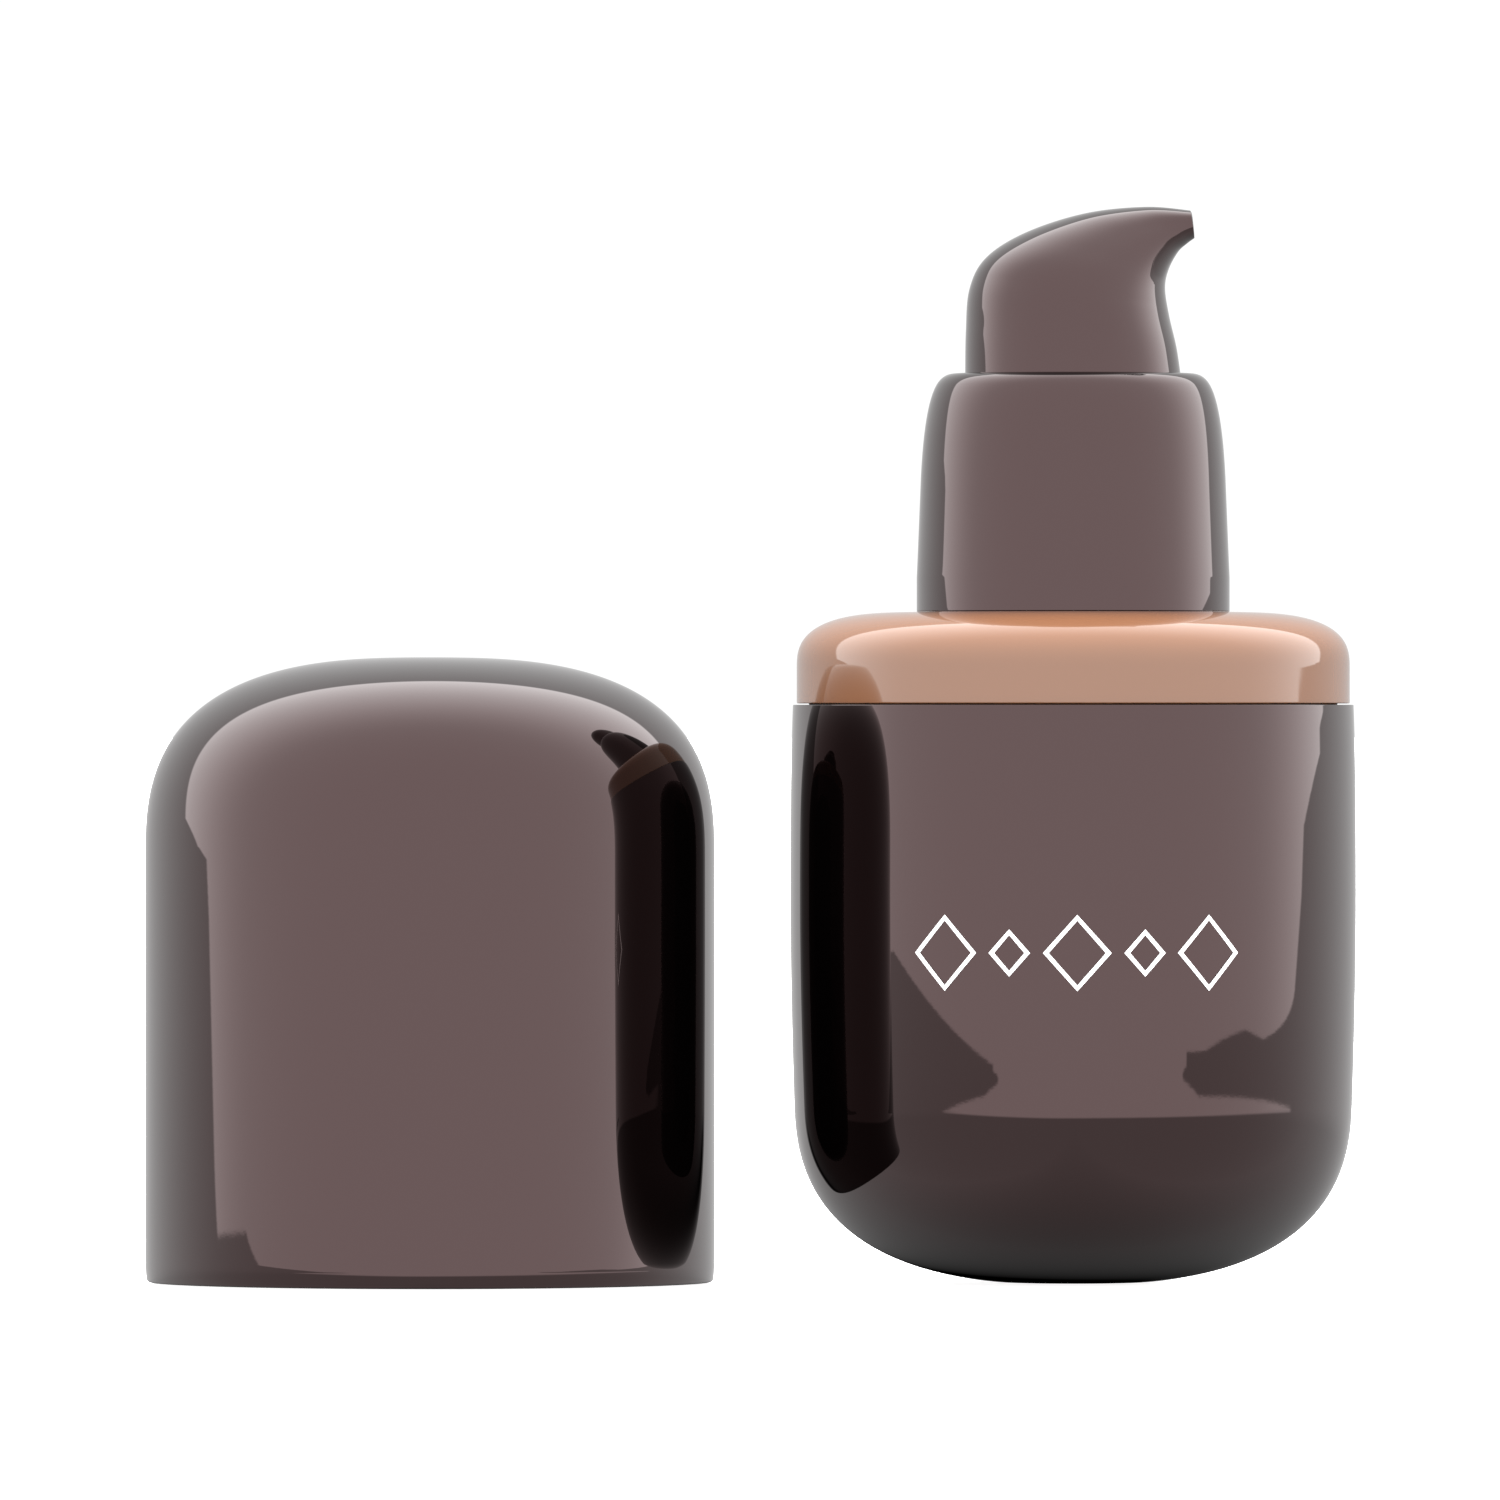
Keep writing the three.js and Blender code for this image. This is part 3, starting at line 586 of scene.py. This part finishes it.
class WorldNodes:
    """Small helpers that write arithmetic as world nodes."""

    def __init__(self, tree):
        self.tree = tree

    def feed(self, node, sockets, values):
        for key, value in zip(sockets, values):
            if isinstance(value, (int, float)):
                node.inputs[key].default_value = value
            else:
                self.tree.links.new(value, node.inputs[key])

    def math(self, operation, *values):
        node = self.tree.nodes.new("ShaderNodeMath")
        node.operation = operation
        self.feed(node, range(3), values)
        return node.outputs[0]

    def line(self, value, slope, start):
        """start + slope * value"""
        return self.math("MULTIPLY_ADD", value, slope, start)

    def over(self, value, limit):
        """How far the value is above the limit, or 0."""
        return self.math("MAXIMUM", self.math("SUBTRACT", value, limit), 0)

    def all_of(self, *shares):
        result = shares[0]
        for share in shares[1:]:
            result = self.math("MULTIPLY", result, share)
        return result

    def mix(self, share, low, high):
        node = self.tree.nodes.new("ShaderNodeMix")
        self.feed(node, (0, 2, 3), (share, low, high))
        return node.outputs[0]

    def ramp(self, value, start, end, low=0.0, high=1.0):
        node = self.tree.nodes.new("ShaderNodeMapRange")
        node.interpolation_type = "SMOOTHSTEP"
        sockets = ("Value", "From Min", "From Max", "To Min", "To Max")
        self.feed(node, sockets, (value, start, end, low, high))
        return node.outputs["Result"]

    def passed(self, value, limit, softness):
        """1 where the value is above the limit and 0 below it, with a soft change between."""
        return self.ramp(self.math("SUBTRACT", value, limit), -softness, softness)


def studio_world():
    """White surroundings and one big soft panel of light in front, which reaches up over the object."""
    world = bpy.data.worlds.new("studio")
    bpy.context.scene.world = world
    world.use_nodes = True
    tree = world.node_tree
    nodes = WorldNodes(tree)
    direction = tree.nodes.new("ShaderNodeTexCoord").outputs["Generated"]
    split = tree.nodes.new("ShaderNodeSeparateXYZ")
    tree.links.new(direction, split.inputs[0])
    x, y, z = split.outputs
    right = nodes.ramp(x, -TURN, TURN)
    above_edge = panel_above_its_edge(nodes, y, z, right)
    main = nodes.all_of(panel_side(nodes, x, y, z, right), above_edge)
    panel = nodes.math("MAXIMUM", main, panel_foot(nodes, y, z, right))
    brightness = nodes.ramp(y, *PANEL_LIGHT.values())
    light = nodes.mix(panel, surroundings(nodes, x, y, z), brightness)
    tree.nodes["Background"].inputs["Color"].default_value = (1, 1, 1, 1)
    tree.links.new(light, tree.nodes["Background"].inputs["Strength"])


def panel_side(nodes, x, y, z, right):
    """The panel's side edges: each is a limit on y, and comes forward towards the lower corner."""
    lower, middle, upper, most = LEFT_SIDE.values()
    left_limit = nodes.math("MAXIMUM", nodes.line(z, *lower), nodes.line(z, *middle))
    upper_limit = nodes.math("MINIMUM", nodes.line(z, *upper), most)
    left_limit = nodes.math("MINIMUM", left_limit, upper_limit)
    lower, middle, step = RIGHT_SIDE.values()
    right_limit = nodes.math("MAXIMUM", nodes.line(z, *middle), nodes.line(z, *lower))
    right_limit = nodes.math("MINIMUM", right_limit, nodes.ramp(z, *step))
    corner = nodes.over(nodes.math("SUBTRACT", RIGHT_CORNER["z"], z), 0)
    right_limit = nodes.line(nodes.math("MULTIPLY", corner, corner), RIGHT_CORNER["pull"], right_limit)
    limit = nodes.line(z, SIDE_SLANT["z"], nodes.mix(right, left_limit, right_limit))
    return nodes.passed(nodes.line(x, SIDE_SLANT["x"], limit), y, SIDE_SOFTNESS)


def panel_above_its_edge(nodes, y, z, right):
    """The panel's lower edge, which rises towards each side."""
    left_edge = nodes.math("MINIMUM", nodes.line(y, *LEFT_EDGE["line"]), LEFT_EDGE["highest"])
    start, highest, slope, cube = RIGHT_EDGE.values()
    drop = nodes.over(nodes.math("SUBTRACT", start, y), 0)
    right_edge = nodes.line(drop, slope, nodes.line(nodes.math("POWER", drop, 3), cube, highest))
    return nodes.passed(z, nodes.mix(right, left_edge, right_edge), EDGE_SOFTNESS)


def panel_foot(nodes, y, z, right):
    """The panel's foot in the middle, and the thin strip of light that runs out from it each way."""
    left_bottom, right_bottom, softness = FOOT_BOTTOM.values()
    bottom = nodes.mix(right, nodes.line(y, *left_bottom), nodes.line(y, *right_bottom))
    above_bottom = nodes.passed(z, bottom, softness)
    left_end, right_end, softness = FOOT_END.values()
    inside_end = nodes.passed(nodes.mix(right, left_end, right_end), y, softness)
    tops = [
        nodes.math("MAXIMUM", *(nodes.line(y, *line) for line in STRIP_TOP[side]))
        for side in ("left", "right")
    ]
    in_strip = nodes.passed(nodes.mix(right, *tops), z, EDGE_SOFTNESS)
    off_tip = nodes.math("SUBTRACT", z, nodes.mix(right, *WEDGE_TIP["z"]))
    rounding = nodes.math("MINIMUM", nodes.math("MULTIPLY", off_tip, off_tip), TIP_ROUNDING["most"])
    tip = nodes.line(rounding, TIP_ROUNDING["factor"], nodes.mix(right, *WEDGE_TIP["y"]))
    in_foot = nodes.passed(tip, y, WEDGE_TIP["softness"])
    return nodes.all_of(above_bottom, inside_end, nodes.math("MAXIMUM", in_strip, in_foot))


def surroundings(nodes, x, y, z):
    """White all round, dimmer behind the object and under it, and white again straight behind it."""
    behind = nodes.math("POWER", nodes.over(y, 0), 3)
    above = nodes.line(behind, ABOVE["dimming"], ABOVE["light"])
    above = nodes.math("MAXIMUM", above, nodes.ramp(y, *ABOVE["disc"]))
    # 1.0001 rather than 1 keeps the division below away from 0
    level = nodes.math("SUBTRACT", 1.0001, nodes.math("MULTIPLY", y, y))
    sideways = nodes.math("DIVIDE", nodes.math("MULTIPLY", x, x), level)
    under = nodes.line(y, UNDER["along"], nodes.line(sideways, UNDER["sideways"], UNDER["light"]))
    under = nodes.math("MINIMUM", under, UNDER["most"])
    under = nodes.line(nodes.over(y, UNDER["far"]), UNDER["dimming"], under)
    return nodes.ramp(z, *HORIZON, nodes.math("MAXIMUM", under, 0), above)


def pale_floor():
    """A plain white floor just under the object, which lights nothing and isn't mirrored."""
    bpy.ops.mesh.primitive_plane_add(size=60)
    floor = bpy.context.object
    floor.name = "floor"
    floor.location.z = -0.0002
    floor.visible_glossy = False
    floor.visible_diffuse = False
    material, *_, shader = new_material("floor_white")
    shader.inputs["Base Color"].default_value = (0.86, 0.86, 0.86, 1)
    shader.inputs["Roughness"].default_value = 0.9
    shader.inputs["Specular IOR Level"].default_value = 0.0
    shader.inputs["Emission Color"].default_value = (1, 1, 1, 1)
    shader.inputs["Emission Strength"].default_value = 0.9
    floor.data.materials.append(material)


def overhead_light():
    """A soft light straight above, for the matt colours only."""
    data = bpy.data.lights.new("overhead", "AREA")
    data.size = 1
    data.energy = 26
    lamp = bpy.data.objects.new("overhead", data)
    lamp.location = (0, 0, 1.2)
    lamp.visible_glossy = False
    lamp.visible_camera = False
    bpy.context.scene.collection.objects.link(lamp)


def camera():
    """A long lens level with the shell's rim, looking along +Y and very slightly down."""
    eye_height = 0.0458
    distance = 1.75
    middle = Vector((-0.0257, 0, 0.0423))
    frame_width = 0.1193
    data = bpy.data.cameras.new("camera")
    data.sensor_width = 36
    data.lens = data.sensor_width * distance / frame_width
    data.clip_start, data.clip_end = 0.05, 100
    eye = bpy.data.objects.new("camera", data)
    eye.location = (middle.x, -distance, eye_height)
    eye.rotation_mode = "QUATERNION"
    eye.rotation_quaternion = (middle - eye.location).to_track_quat("-Z", "Y")
    bpy.context.scene.collection.objects.link(eye)
    bpy.context.scene.camera = eye


studio_world()
pale_floor()
overhead_light()
camera()
bpy.context.scene.view_settings.view_transform = "Standard"
